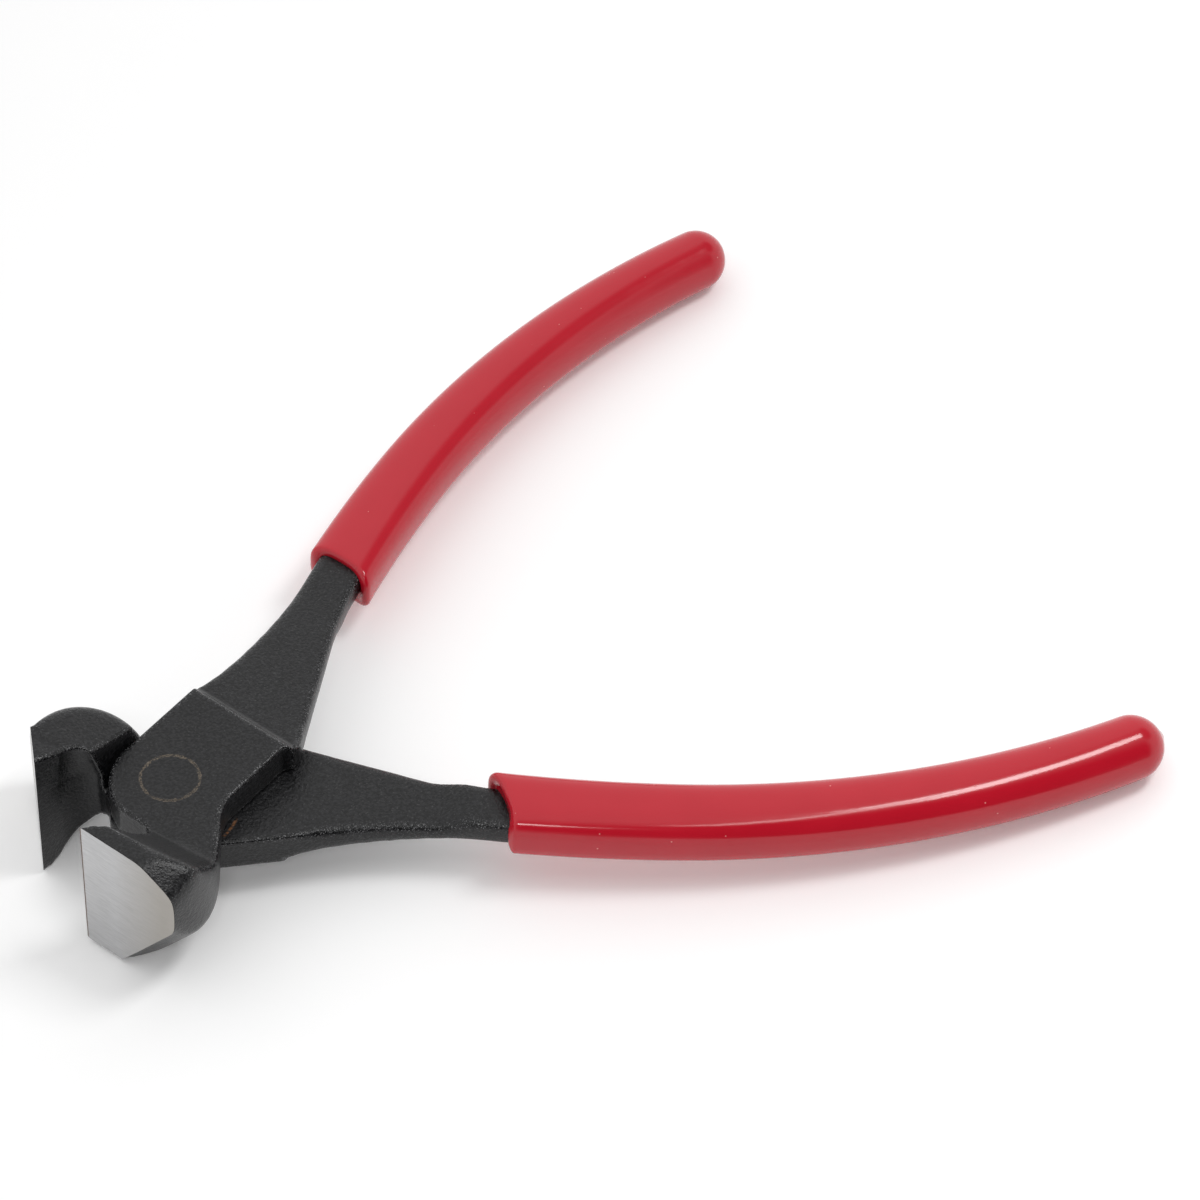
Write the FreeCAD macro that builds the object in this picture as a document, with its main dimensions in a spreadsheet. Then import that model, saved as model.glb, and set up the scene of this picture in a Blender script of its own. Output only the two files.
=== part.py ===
import FreeCAD, Part
import math
import os
import re
import Sketcher

# End-cutting nippers, 190 mm long, drawn in the open position.
# Frame: Z is the pivot axis, the origin lies on it in the back face of the joint,
# X runs between the two handles and Y across them. The cutting edges are at -X.
#
# Each half is one forging: a joint plate, a shank with a tang, and a jaw. It is drawn
# closed, with z = 0 in the plane where the two plates lap. The second half is the same
# forging turned over about X, so one function makes both.

V = FreeCAD.Vector
Z_AXIS = V(0, 0, 1)
X_AXIS = V(1, 0, 0)

SIZES = [
    # jaw
    ("edge_reach", 22.0, "pivot axis to cutting edge"),
    ("edge_length", 28.8, "length of the cutting edge"),
    ("jaw_depth", 19.7, "cutting edge to the outside of the jaw"),
    ("edge_gap", 0.1, "gap between the two edges when the jaws are shut"),
    ("bevel_run", 1.6, "length of the inner bevel behind the edge"),
    ("hollow_depth", 6.3, "depth of the hollow behind the edge"),
    ("blade_thickness", 2.7, "flat on the plate side of the blade"),
    ("ramp_skew", 5.5, "degrees that the ramp is turned in plan"),
    ("dome_lean", 36.1, "degrees that the rounded outside of the jaw faces the far end"),
    ("underside_fall", 6.0, "fall of the far side from the edge to the stop wall"),
    ("jaw_wall_radius", 21.0, "outer wall of the jaw in plan"),
    ("throat_radius", 9.5, "hollow corner between jaw and plate"),
    # joint
    ("plate_thickness", 6.4, "thickness of one joint plate"),
    ("lap_clearance", 0.1, "play between the two plates"),
    ("plate_half_width", 10.0, "pivot axis to the straight edge of a plate"),
    ("boss_radius", 10.3, "rounded front corner of a plate"),
    ("front_wall", 10.3, "pivot axis to the front wall of a plate"),
    ("stop_wall", 10.7, "pivot axis to the wall that stops the opening"),
    ("step_reach", 17.6, "pivot axis to the step between plate and shank"),
    ("step_drop", 1.0, "height of that step"),
    ("opening_angle", 43.3, "angle between the halves as drawn"),
    ("stop_angle", 41.7, "opening angle at which the stop wall is square on"),
    # rivet
    ("rivet_head_diameter", 9.9, "rivet at the face of the joint"),
    ("rivet_diameter", 8.0, "rivet between its heads"),
    ("countersink_depth", 1.2, "depth of a rivet head"),
    ("running_clearance", 0.04, "radial play of the half that turns on the rivet"),
    # shank and tang
    ("shoulder_width", 11.3, "pivot axis to the shoulder of the shank"),
    ("web_end", 44.0, "where the shank stops lying over the other one"),
    ("tang_reach", 51.3, "pivot axis to the start of the tang along X"),
    ("tang_offset", 8.9, "pivot axis to the start of the tang along Y"),
    ("tang_lean", 15.9, "degrees that the handle leans out there"),
    ("shank_hollow_radius", 95.0, "hollow outer edge of the shank"),
    ("tang_width", 9.0, "width of the tang"),
    ("tang_rise", 3.3, "lap plane to the plate side of the tang"),
    ("tang_thickness", 4.9, "thickness of the tang"),
    ("tip_cover", 14.6, "vinyl beyond the end of the tang"),
    # grip
    ("front_bend_radius", 273.0, "bend of the handle next to the collar"),
    ("front_bend_length", 33.5, "length of that bend"),
    ("rear_bend_radius", 177.0, "bend of the rest of the handle"),
    ("upper_collar_reach", 56.6, "pivot axis to the open end of the upper grip"),
    ("lower_collar_reach", 53.5, "pivot axis to the open end of the lower grip"),
    ("handle_length", 119.1, "start of the tang to the tip of the grip, along the bend"),
    ("upper_tip_excess", 0.9, "how much further the upper grip was dipped"),
    ("collar_width", 13.0, "grip across its open end"),
    ("collar_height", 9.6, "height of the grip's open end"),
    ("collar_corner", 2.8, "corner radius of the grip's open end"),
    ("tip_diameter", 11.4, "diameter of the grip at its closed end"),
]

doc = FreeCAD.newDocument("end_cutting_nippers")
sheet = doc.addObject("Spreadsheet::Sheet", "Sizes")
for row, (alias, number, note) in enumerate(SIZES, start=1):
    sheet.set("A%d" % row, alias)
    sheet.set("B%d" % row, str(number))
    sheet.setAlias("B%d" % row, alias)
    sheet.set("C%d" % row, note)
doc.recompute()


NAMES = {alias for alias, _, _ in SIZES}


def formula(text):
    """A formula over the sheet's names, as an expression that FreeCAD reads."""
    return re.sub(r"[a-z_]+", lambda m: "Sizes." + m[0] if m[0] in NAMES else m[0], text)


def size(value):
    """The number that a formula stands for. A plain number stands for itself."""
    if isinstance(value, str):
        return float(sheet.evalExpression(formula(value)))
    return float(value)


# ------------------------------------------------------- the middle line of a handle

class Station:
    """A place on the handle's middle line, which is two tangent bends in the lap plane."""

    def __init__(self, run):
        lean = math.radians(size("tang_lean"))
        self.point = V(size("tang_reach"), size("tang_offset"), 0)
        front = min(run, size("front_bend_length"))
        bends = [(size("front_bend_radius"), front), (size("rear_bend_radius"), run - front)]
        for radius, length in bends:
            turned = lean - length / radius
            start = V(-math.sin(lean), math.cos(lean), 0)
            end = V(-math.sin(turned), math.cos(turned), 0)
            self.point = self.point + (end - start) * radius
            lean = turned
        self.along = V(math.cos(lean), math.sin(lean), 0)
        self.across = V(-math.sin(lean), math.cos(lean), 0)

    def aside(self, distance):
        """The point at this distance across the handle, away from the other handle."""
        return self.point + self.across * distance

    def placement(self):
        """A plane square to the handle: its x runs across the handle and its y up."""
        turn = FreeCAD.Rotation(self.across, Z_AXIS, self.along, "ZXY")
        return FreeCAD.Placement(self.point, turn)


# ------------------------------------------------------- sketches and cuts

def new_sketch(body, name, role, offset=None):
    """A sketch on one of the body's own origin planes, moved by the offset."""
    plane = [item for item in body.Origin.OriginFeatures if item.Role == role][0]
    sketch = body.newObject("Sketcher::SketchObject", name)
    sketch.AttachmentSupport = [(plane, "")]
    sketch.MapMode = "FlatFace"
    if offset is not None:
        sketch.AttachmentOffset = offset
    return sketch


def arc_through(start, end, radius):
    """An arc from start to end. A positive radius bulges to the right of the way."""
    chord = end - start
    half = chord.Length / 2
    rise = abs(radius) - math.sqrt(radius * radius - half * half)
    right = V(chord.y, -chord.x, 0).normalize()
    middle = (start + end) * 0.5 + right * math.copysign(rise, radius)
    return Part.Arc(start, middle, end) if radius > 0 else Part.Arc(end, middle, start)


def start_of(corner):
    """Which end of the edge lies on its corner, 1 or 2: arcs always run anticlockwise."""
    return 2 if len(corner) == 3 and size(corner[2]) < 0 else 1


def from_origin(kind, edge, end, value):
    """The constraint that fixes one coordinate of an edge's end from the sketch's origin."""
    if abs(size(value)) < 1e-9:
        axis = -2 if kind == "DistanceX" else -1
        return Sketcher.Constraint("PointOnObject", edge, end, axis), None
    return Sketcher.Constraint(kind, -1, 1, edge, end, size(value)), value


def draw_outline(sketch, corners):
    """A closed outline. A corner is (x, y), or (x, y, radius of the arc that leaves it)."""
    points = [V(size(corner[0]), size(corner[1]), 0) for corner in corners]
    after = points[1:] + points[:1]
    for corner, start, end in zip(corners, points, after):
        if len(corner) == 3:
            sketch.addGeometry(arc_through(start, end, size(corner[2])), False)
        else:
            sketch.addGeometry(Part.LineSegment(start, end), False)
    starts = [start_of(corner) for corner in corners]
    bound = []
    for index, corner in enumerate(corners):
        follower = (index + 1) % len(corners)
        joint = (index, 3 - starts[index], follower, starts[follower])
        bound.append((Sketcher.Constraint("Coincident", *joint), None))
        bound.append(from_origin("DistanceX", index, starts[index], corner[0]))
        bound.append(from_origin("DistanceY", index, starts[index], corner[1]))
        if len(corner) == 3:
            radius = corner[2].lstrip("-") if isinstance(corner[2], str) else corner[2]
            bound.append((Sketcher.Constraint("Radius", index, abs(size(radius))), radius))
    sketch.addConstraint([constraint for constraint, _ in bound])
    for index, (_, value) in enumerate(bound):
        if isinstance(value, str):
            sketch.setExpression("Constraints[%d]" % index, formula(value))


def finish_cut(feature, before):
    """Recompute, and make sure that the cut took something away."""
    doc.recompute()
    if not feature.Shape.Volume < before - 1e-3:
        raise RuntimeError("%s cuts nothing" % feature.Name)


def cut_through(body, name, sketch):
    """Pocket a sketch both ways through the whole body."""
    before = body.Tip.Shape.Volume
    pocket = body.newObject("PartDesign::Pocket", name)
    pocket.Profile = sketch
    pocket.SideType = "Symmetric"
    pocket.Type = "ThroughAll"
    finish_cut(pocket, before)


def cut_beyond(body, name, sketch, depth, upward):
    """Pocket a sketch on one side of its plane only."""
    before = body.Tip.Shape.Volume
    pocket = body.newObject("PartDesign::Pocket", name)
    pocket.Profile = sketch
    pocket.Type = "Length"
    pocket.Reversed = upward
    pocket.setExpression("Length", formula(depth))
    finish_cut(pocket, before)


# ------------------------------------------------------- one forging

PAST = 400.0  # reaches past the whole tool


def tang_edges():
    """The tang's inner and outer edge, each as its points at collar, bend and end."""
    half = size("tang_width / 2")
    runs = (0.0, size("front_bend_length"), size("handle_length - tip_cover"))
    stations = [Station(run) for run in runs]
    return [s.aside(-half) for s in stations], [s.aside(half) for s in stations]


def tang_corners():
    """The tang in plan, from the inner edge at the collar round to the outer edge."""
    inner, outer = tang_edges()
    half = size("tang_width / 2")
    front = size("front_bend_radius")
    rear = size("rear_bend_radius")
    return [
        (inner[0].x, inner[0].y, half - front),
        (inner[1].x, inner[1].y, half - rear),
        (inner[2].x, inner[2].y, half + 0.2),
        (outer[2].x, outer[2].y, half + rear),
        (outer[1].x, outer[1].y, half + front),
    ], (outer[0].x, outer[0].y)


def add_plan(body):
    """The forging from above, everywhere as thick as the cutting edge is long."""
    tang, collar = tang_corners()
    sketch = new_sketch(body, "plan", "XY_Plane")
    draw_outline(sketch, [
        ("-edge_reach", "-edge_gap / 2"),
        ("-edge_reach", "-jaw_depth", "jaw_wall_radius"),
        ("-edge_reach + 14.4", "-jaw_depth + 2.9"),
        ("-edge_reach + 19.6", "-jaw_depth + 6.6", "-throat_radius"),
        ("3.0", "-plate_half_width - 0.2"),
        ("step_reach - 1.0", "-plate_half_width - 0.2"),
        ("step_reach + 0.6", "-shoulder_width"),
        ("step_reach + 2.6", "-shoulder_width"),
        ("web_end + 2.7", "2.3"),
    ] + tang + [
        (collar[0], collar[1], "-shank_hollow_radius"),
        ("step_reach + 8.0", "plate_half_width"),
        ("0", "plate_half_width", "boss_radius"),
        ("-boss_radius + 0.7", "3.8"),
        ("-front_wall", "2.0"),
        ("-front_wall", "-3.6"),
        ("-front_wall - 3.2", "-2.4"),
        ("-front_wall - 4.6", "-3.0"),
        ("-edge_reach + 4.5", "-2.0"),
    ])
    pad = body.newObject("PartDesign::Pad", "forging")
    pad.Profile = sketch
    pad.SideType = "Symmetric"
    pad.setExpression("Length", formula("edge_length"))
    doc.recompute()


def cut_sides(body):
    """Side view: blade flat, ramp, plate, step and shank above, then the lap side below."""
    top = "plate_thickness + lap_clearance / 2"
    skew = FreeCAD.Rotation(V(0, 1, 0), size("ramp_skew"))
    ramp = new_sketch(body, "ramp_side", "XZ_Plane", FreeCAD.Placement(V(), skew))
    draw_outline(ramp, [
        ("-edge_reach + blade_thickness", "edge_length / 2"),
        ("-front_wall - 0.7", top),
        ("step_reach + 2.0", top),
        ("step_reach + 2.0", "edge_length"),
        ("-edge_reach + blade_thickness", "edge_length"),
    ])
    cut_through(body, "ramp", ramp)
    shank = new_sketch(body, "shank_side", "XZ_Plane")
    draw_outline(shank, [
        ("step_reach", top),
        ("step_reach + 0.9", top + " - step_drop"),
        ("tang_reach - 2.5", "tang_rise"),
        (PAST, "tang_rise"),
        (PAST, "edge_length"),
        ("step_reach", "edge_length"),
    ])
    cut_through(body, "shank_top", shank)
    under = new_sketch(body, "lap_side", "XZ_Plane")
    draw_outline(under, [
        ("-edge_reach", "-edge_length / 2"),
        ("-stop_wall / 3", "-edge_length / 2 + underside_fall"),
        ("-stop_wall / 3", "lap_clearance / 2"),
        ("web_end", "lap_clearance / 2"),
        ("tang_reach - 2.5", "tang_rise - tang_thickness"),
        (PAST, "tang_rise - tang_thickness"),
        (PAST, "-edge_length"),
        ("-edge_reach", "-edge_length"),
    ])
    cut_through(body, "lap", under)


def cut_stop_wall(body):
    """Past the lap plane the jaw ends in a flat wall, clear of the other half's plate."""
    away = math.radians(-90.0 - size("stop_angle"))
    normal = V(math.cos(away), math.sin(away), 0)
    along = V(-normal.y, normal.x, 0) * 24.0
    wall = normal * size("stop_wall")
    inside = normal * 40.0
    corners = [wall - along, wall + along, wall + along - inside, wall - along - inside]
    lap = FreeCAD.Placement(V(0, 0, size("lap_clearance / 2")), FreeCAD.Rotation())
    sketch = new_sketch(body, "stop_plan", "XY_Plane", lap)
    draw_outline(sketch, [(corner.x, corner.y) for corner in corners])
    cut_beyond(body, "stop", sketch, "edge_length", False)


def hollow_sketch(body, name, height, corners):
    """An outline of the hollow behind the edge, closed in front of the jaw."""
    level = FreeCAD.Placement(V(0, 0, height), FreeCAD.Rotation())
    sketch = new_sketch(body, name, "XY_Plane", level)
    draw_outline(sketch, corners + [(corners[-1][0], 3.0), ("-edge_reach", 3.0)])
    return sketch


def cut_hollow(body):
    """The hollow behind the edge: even on the plate side, shallower towards the far end."""
    deep = [
        ("-edge_reach", "-edge_gap / 2"),
        ("-edge_reach + bevel_run", "-bevel_run * 0.9"),
        ("-edge_reach + bevel_run * 2.25", "-hollow_depth + 2.6", "hollow_depth * 0.85"),
        ("-front_wall - 1.3", "-hollow_depth + 0.9"),
        ("-front_wall", "-3.6"),
        ("-front_wall - 1.5", "0.1"),
    ]
    shallow = [
        ("-edge_reach", "-edge_gap / 2"),
        ("-edge_reach + bevel_run", "-bevel_run * 0.5"),
        ("-edge_reach + 4.5", "-2.0", "hollow_depth * 0.45"),
        ("-front_wall - 3.3", "-2.5"),
        ("-front_wall - 3.1", "-2.3"),
        ("-front_wall - 3.4", "0.1"),
    ]
    turn = size("-edge_length / 9")
    upper = hollow_sketch(body, "hollow_plan", turn, deep)
    cut_beyond(body, "hollow", upper, "edge_length", True)
    before = body.Tip.Shape.Volume
    middle = hollow_sketch(body, "hollow_middle", turn, deep)
    bottom = hollow_sketch(body, "hollow_bottom", size("-edge_length / 2 - 0.2"), shallow)
    loft = body.newObject("PartDesign::SubtractiveLoft", "hollow_end")
    loft.Profile = middle
    loft.Sections = [bottom]
    loft.Ruled = True
    finish_cut(loft, before)


def cut_dome(body):
    """Round the outside of the jaw towards its far end, on an axis leaning over."""
    lean = math.radians(size("dome_lean"))
    outward = V(0, -math.cos(lean), -math.sin(lean))
    turn = FreeCAD.Rotation(X_AXIS, outward, X_AXIS.cross(outward), "ZXY")
    sketch = new_sketch(body, "dome_side", "XY_Plane", FreeCAD.Placement(V(), turn))
    draw_outline(sketch, [
        ("-edge_reach", "jaw_depth - 5.8", -9.5),
        ("-edge_reach + 7.6", "jaw_depth - 2.0", -12.0),
        ("-edge_reach + 17.0", "jaw_depth - 6.6"),
        ("-edge_reach + 20.0", "jaw_depth - 8.7"),
        ("-edge_reach + 20.0", "2 * jaw_depth"),
        ("-edge_reach", "2 * jaw_depth"),
    ])
    cut_through(body, "dome", sketch)


def cut_facet(body, name, turn, tilt, point, reach):
    """Take off the corner beyond a plane, given by its outward direction and a point."""
    turn = math.radians(turn)
    tilt = math.radians(tilt)
    flat = math.cos(tilt)
    outward = V(flat * math.cos(turn), flat * math.sin(turn), math.sin(tilt))
    place = FreeCAD.Placement(V(*[size(value) for value in point]),
                              FreeCAD.Rotation(Z_AXIS, outward))
    sketch = new_sketch(body, name + "_plane", "XY_Plane", place)
    draw_outline(sketch, [(-reach, -reach), (reach, -reach), (reach, reach), (-reach, reach)])
    cut_beyond(body, name, sketch, "edge_length", True)


def cut_rivet_hole(body, play):
    """The rivet's hole with its countersink, wider all round by the play."""
    top = "plate_thickness + lap_clearance / 2"
    hole = "rivet_diameter / 2 + %s" % play
    mouth = "rivet_head_diameter / 2 + %s" % play
    before = body.Tip.Shape.Volume
    sketch = new_sketch(body, "hole_side", "XZ_Plane")
    draw_outline(sketch, [
        ("0", "-1.0"),
        (hole, "-1.0"),
        (hole, top + " - countersink_depth"),
        (mouth, top),
        (mouth, top + " + 1.0"),
        ("0", top + " + 1.0"),
    ])
    groove = body.newObject("PartDesign::Groove", "rivet_hole")
    groove.Profile = sketch
    groove.ReferenceAxis = (sketch, ["V_Axis"])
    groove.Angle = 360.0
    finish_cut(groove, before)


def make_half(label, play):
    """One forging, drawn closed with its plate above the lap plane."""
    body = doc.addObject("PartDesign::Body", label)
    body.Label = label
    add_plan(body)
    cut_sides(body)
    cut_stop_wall(body)
    cut_hollow(body)
    cut_dome(body)
    shoulder = ("-edge_reach", "-jaw_depth + 8.2", "edge_length / 2 + 0.2")
    cut_facet(body, "upper_nose", -123.1, 57.1, shoulder, 30.0)
    cut_rivet_hole(body, play)
    return body


# ------------------------------------------------------- rivet and grips

def make_rivet():
    """The rivet, flush with both faces of the joint."""
    half = "plate_thickness + lap_clearance / 2"
    body = doc.addObject("PartDesign::Body", "pivot_rivet")
    body.Label = "pivot_rivet"
    sketch = new_sketch(body, "rivet_side", "XZ_Plane")
    draw_outline(sketch, [
        ("0", "-(%s)" % half),
        ("rivet_head_diameter / 2", "-(%s)" % half),
        ("rivet_diameter / 2", "-(%s) + countersink_depth" % half),
        ("rivet_diameter / 2", half + " - countersink_depth"),
        ("rivet_head_diameter / 2", half),
        ("0", half),
    ])
    turned = body.newObject("PartDesign::Revolution", "turned")
    turned.Profile = sketch
    turned.ReferenceAxis = (sketch, ["V_Axis"])
    turned.Angle = 360.0
    doc.recompute()
    return body


def grip_section(body, index, share, length):
    """The grip across the handle: nearly a rectangle at the collar, round at the tip."""
    ease = share ** 0.7
    wide = size("collar_width") + (size("tip_diameter") - size("collar_width")) * share
    tall = size("collar_height") + (size("tip_diameter") - size("collar_height")) * ease
    corner = size("collar_corner") + (size("tip_diameter / 2 - 0.2 - collar_corner")) * ease
    a, b = wide / 2, tall / 2
    c, d = a - corner, b - corner
    place = Station(share * length).placement()
    sketch = new_sketch(body, "section_%d" % index, "XY_Plane", place)
    draw_outline(sketch, [
        (-c, -b), (c, -b, corner), (a, -d), (a, d, corner),
        (c, b), (-c, b, corner), (-a, d), (-a, -d, corner),
    ])
    return sketch


def make_grip(label, collar_reach, excess):
    """The dipped grip: a tapering sleeve with a round end, filled by the tang."""
    body = doc.addObject("PartDesign::Body", label)
    body.Label = label
    length = size("handle_length - tip_diameter / 2 + %s" % excess)
    count = 6
    shares = [i / (count - 1) for i in range(count)]
    sections = [grip_section(body, i, share, length) for i, share in enumerate(shares)]
    loft = body.newObject("PartDesign::AdditiveLoft", "sleeve")
    loft.Profile = sections[0]
    loft.Sections = sections[1:]
    doc.recompute()
    dome = body.newObject("PartDesign::AdditiveSphere", "dome")
    dome.setExpression("Radius", formula("tip_diameter / 2 - 0.05"))
    dome.Placement = Station(length).placement()
    doc.recompute()
    before = body.Tip.Shape.Volume
    tang, collar = tang_corners()
    middle = FreeCAD.Placement(V(0, 0, size("tang_rise - tang_thickness / 2")), FreeCAD.Rotation())
    sketch = new_sketch(body, "tang_plan", "XY_Plane", middle)
    draw_outline(sketch, tang + [collar])
    pocket = body.newObject("PartDesign::Pocket", "tang_pocket")
    pocket.Profile = sketch
    pocket.SideType = "Symmetric"
    pocket.Type = "Length"
    pocket.setExpression("Length", formula("tang_thickness"))
    finish_cut(pocket, before)
    collar = new_sketch(body, "collar_plan", "XY_Plane")
    draw_outline(collar, [("0", "-20.0"), (collar_reach, "-20.0"),
                          (collar_reach, "40.0"), ("0", "40.0")])
    cut_through(body, "collar", collar)
    return body


# ------------------------------------------------------- assembly

def placed(turn, over):
    """Closed frame to part frame: turned open about the pivot, back face at z = 0."""
    lift = V(0, 0, size("plate_thickness + lap_clearance / 2"))
    flip = FreeCAD.Rotation(X_AXIS, 180.0 if over else 0.0)
    return FreeCAD.Placement(lift, FreeCAD.Rotation(Z_AXIS, turn) * flip)


half_open = size("opening_angle / 2")
upper = placed(half_open, False)
lower = placed(-half_open, True)
pieces = [
    (make_half("upper_forging", "running_clearance"), upper),
    (make_half("lower_forging", "0"), lower),
    (make_rivet(), lower),
    (make_grip("upper_grip", "upper_collar_reach", "upper_tip_excess"), upper),
    (make_grip("lower_grip", "lower_collar_reach", "0"), lower),
]
for piece, place in pieces:
    piece.Placement = place
doc.recompute()

for item in doc.Objects:
    if "Invalid" in item.State or "Error" in item.State:
        raise RuntimeError("%s failed: %s" % (item.Name, item.State))

os.makedirs("parts", exist_ok=True)
for piece, _ in pieces:
    shape = piece.Shape
    if shape.isNull() or not shape.isValid() or len(shape.Solids) != 1:
        raise RuntimeError("%s is not one valid solid" % piece.Label)
    print("%-16s %9.1f mm3" % (piece.Label, shape.Volume))
    shape.exportStep("parts/%s.step" % piece.Label)
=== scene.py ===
# %% [markdown]
# # End-cutting nippers with dipped grips
# The tool has five pieces: two forgings that are the same shape turned over, the rivet
# they turn on, and two vinyl grips. The solid model gives their exact sizes. This lesson
# gives them the surface that forging, blasting, grinding and dipping leave behind.

# %% Load the frame
import math

import bmesh
import bpy
import numpy as np
from mathutils import Matrix, Vector


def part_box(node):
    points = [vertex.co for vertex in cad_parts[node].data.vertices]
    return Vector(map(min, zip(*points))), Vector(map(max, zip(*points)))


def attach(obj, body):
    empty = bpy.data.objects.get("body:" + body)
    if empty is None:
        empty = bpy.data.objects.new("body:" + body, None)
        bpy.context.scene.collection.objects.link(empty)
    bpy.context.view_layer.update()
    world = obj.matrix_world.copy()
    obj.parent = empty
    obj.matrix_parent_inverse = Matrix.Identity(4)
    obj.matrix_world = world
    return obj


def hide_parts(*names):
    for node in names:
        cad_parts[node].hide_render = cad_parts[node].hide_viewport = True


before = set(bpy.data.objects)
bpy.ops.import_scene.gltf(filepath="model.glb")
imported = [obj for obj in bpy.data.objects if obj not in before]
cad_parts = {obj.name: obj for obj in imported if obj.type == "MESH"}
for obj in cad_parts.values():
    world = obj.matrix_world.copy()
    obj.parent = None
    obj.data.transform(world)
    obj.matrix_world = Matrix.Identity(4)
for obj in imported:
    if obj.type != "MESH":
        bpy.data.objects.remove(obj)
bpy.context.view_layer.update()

MM = 0.001
print("CAD nodes:", sorted(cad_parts))

# %% [markdown]
# ## Camera
# A long lens far away keeps the two handles in true proportion. The camera looks down at
# the open tool from over the jaws. Its three directions are written out, because a hand
# tool lying at an angle has no edge that a tracking constraint could level it by.

# %% Camera
right = Vector((0.8504, -0.5245, 0.0421))
up = Vector((0.3607, 0.6394, 0.6791))
back = right.cross(up)
camera_data = bpy.data.cameras.new("camera")
camera_data.lens = 125.0
camera_data.sensor_width = 36.0
camera_data.clip_end = 20.0
camera = bpy.data.objects.new("camera", camera_data)
bpy.context.scene.collection.objects.link(camera)
turn = Matrix((right, up, back)).transposed().to_4x4()
camera.matrix_world = Matrix.Translation(Vector((-193.15, -406.45, 541.54)) * MM) @ turn
bpy.context.scene.camera = camera
print("camera looks down by %.1f degrees" % math.degrees(math.asin(back.z)))

# %% [markdown]
# ## Floor
# The tool doesn't lie flat on its joint. The far ends of the jaws reach lower than the
# plates, so it rests on those two corners and on the tips of its grips. The floor takes
# the tilt of a line through both, and lies just under the tool's lowest point, so that
# nothing pokes through it.

# %% Floor under the jaws and the grip tips
CORNER_INSET = 4.0 * MM
TIP_INSET = 6.0 * MM
FLOOR_GAP = 0.05 * MM
FLOOR_REACH = 6.0

jaw_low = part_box("upper_forging")[0].z
jaw_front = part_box("upper_forging")[0].x + CORNER_INSET
tip_low, tip_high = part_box("upper_grip")
tip_x = tip_high.x - TIP_INSET
slope = (tip_low.z - jaw_low) / (tip_x - jaw_front)
lowest = min(vert.co.z - slope * vert.co.x
             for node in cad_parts.values() for vert in node.data.vertices)
height = lowest - FLOOR_GAP
floor_mesh = bpy.data.meshes.new("floor")
corners = [(x * FLOOR_REACH, y * FLOOR_REACH, height + slope * x * FLOOR_REACH)
           for x, y in ((-1, -1), (1, -1), (1, 1), (-1, 1))]
floor_mesh.from_pydata(corners, [], [(0, 1, 2, 3)])
floor = bpy.data.objects.new("floor", floor_mesh)
bpy.context.scene.collection.objects.link(floor)
print("floor tilts by %.2f degrees" % math.degrees(math.atan(slope)))

# %% [markdown]
# ## A short way to write nodes
# The finishes, the grips and the sky are all made of nodes. `Nodes` adds one node at a
# time to a tree and joins its inputs. `Finish` builds on it for materials: it reads
# patterns on the object's own coordinates and mixes colours. Constant values go straight
# on the shader's sockets.

# %% Helper for any node tree
class Nodes:
    """Adds nodes to one tree. What an input is given may be a link or a constant."""

    def __init__(self, tree):
        self.tree = tree

    def node(self, kind, settings=None, **inputs):
        made = self.tree.nodes.new(kind)
        for name, value in (settings or {}).items():
            setattr(made, name, value)
        for name, value in inputs.items():
            self.join(value, made.inputs[name.replace("_", " ")])
        return made

    def join(self, value, socket):
        if isinstance(value, bpy.types.NodeSocket):
            self.tree.links.new(value, socket)
        else:
            socket.default_value = value

    def math(self, operation, *values, clamp=False):
        made = self.node("ShaderNodeMath", {"operation": operation, "use_clamp": clamp})
        for value, socket in zip(values, made.inputs):
            self.join(value, socket)
        return made.outputs[0]

# %% Helper for materials
class Finish(Nodes):
    """One node material. Patterns are read in object coordinates, in metres."""

    def __init__(self, name, **constants):
        self.material = bpy.data.materials.new(name)
        self.material.use_nodes = True
        super().__init__(self.material.node_tree)
        self.shader = self.tree.nodes["Principled BSDF"]
        for socket, value in constants.items():
            self.shader.inputs[socket.replace("_", " ")].default_value = value
        self.place = self.node("ShaderNodeTexCoord").outputs["Object"]

    def scaled(self, vector, stretch):
        made = self.node("ShaderNodeVectorMath", {"operation": "MULTIPLY"})
        self.join(vector, made.inputs[0])
        self.join(stretch, made.inputs[1])
        return made.outputs[0]

    def noise(self, size_mm, detail=2.0, roughness=0.5, vector=None):
        """Cloudy noise between 0 and 1 whose lumps are about this large."""
        return self.node("ShaderNodeTexNoise", Vector=vector or self.place,
                         Scale=1.0 / (size_mm * MM), Detail=detail,
                         Roughness=roughness).outputs["Fac"]

    def steps(self, value, low, high):
        """0 under low, 1 over high, and even between."""
        return self.node("ShaderNodeMapRange", {"clamp": True}, Value=value,
                         From_Min=low, From_Max=high).outputs["Result"]

    def mix(self, share, first, second):
        made = self.node("ShaderNodeMix", {"data_type": "RGBA"})
        self.join(share, made.inputs["Factor"])
        self.join(first, made.inputs["A"])
        self.join(second, made.inputs["B"])
        return made.outputs["Result"]

    def attribute(self, name):
        return self.node("ShaderNodeAttribute", {"attribute_name": name}).outputs["Fac"]

    def bump(self, height, depth_mm, strength=1.0, below=None):
        made = self.node("ShaderNodeBump", Height=height, Distance=depth_mm * MM,
                         Strength=strength)
        if below is not None:
            self.join(below, made.inputs["Normal"])
        return made.outputs["Normal"]

    def shade(self, **links):
        for socket, value in links.items():
            self.join(value, self.shader.inputs[socket.replace("_", " ")])
        return self.material

# %% [markdown]
# ## Floor finish
# The floor is a lit white table: nearly white, matte, and with a little light of its own.

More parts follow.
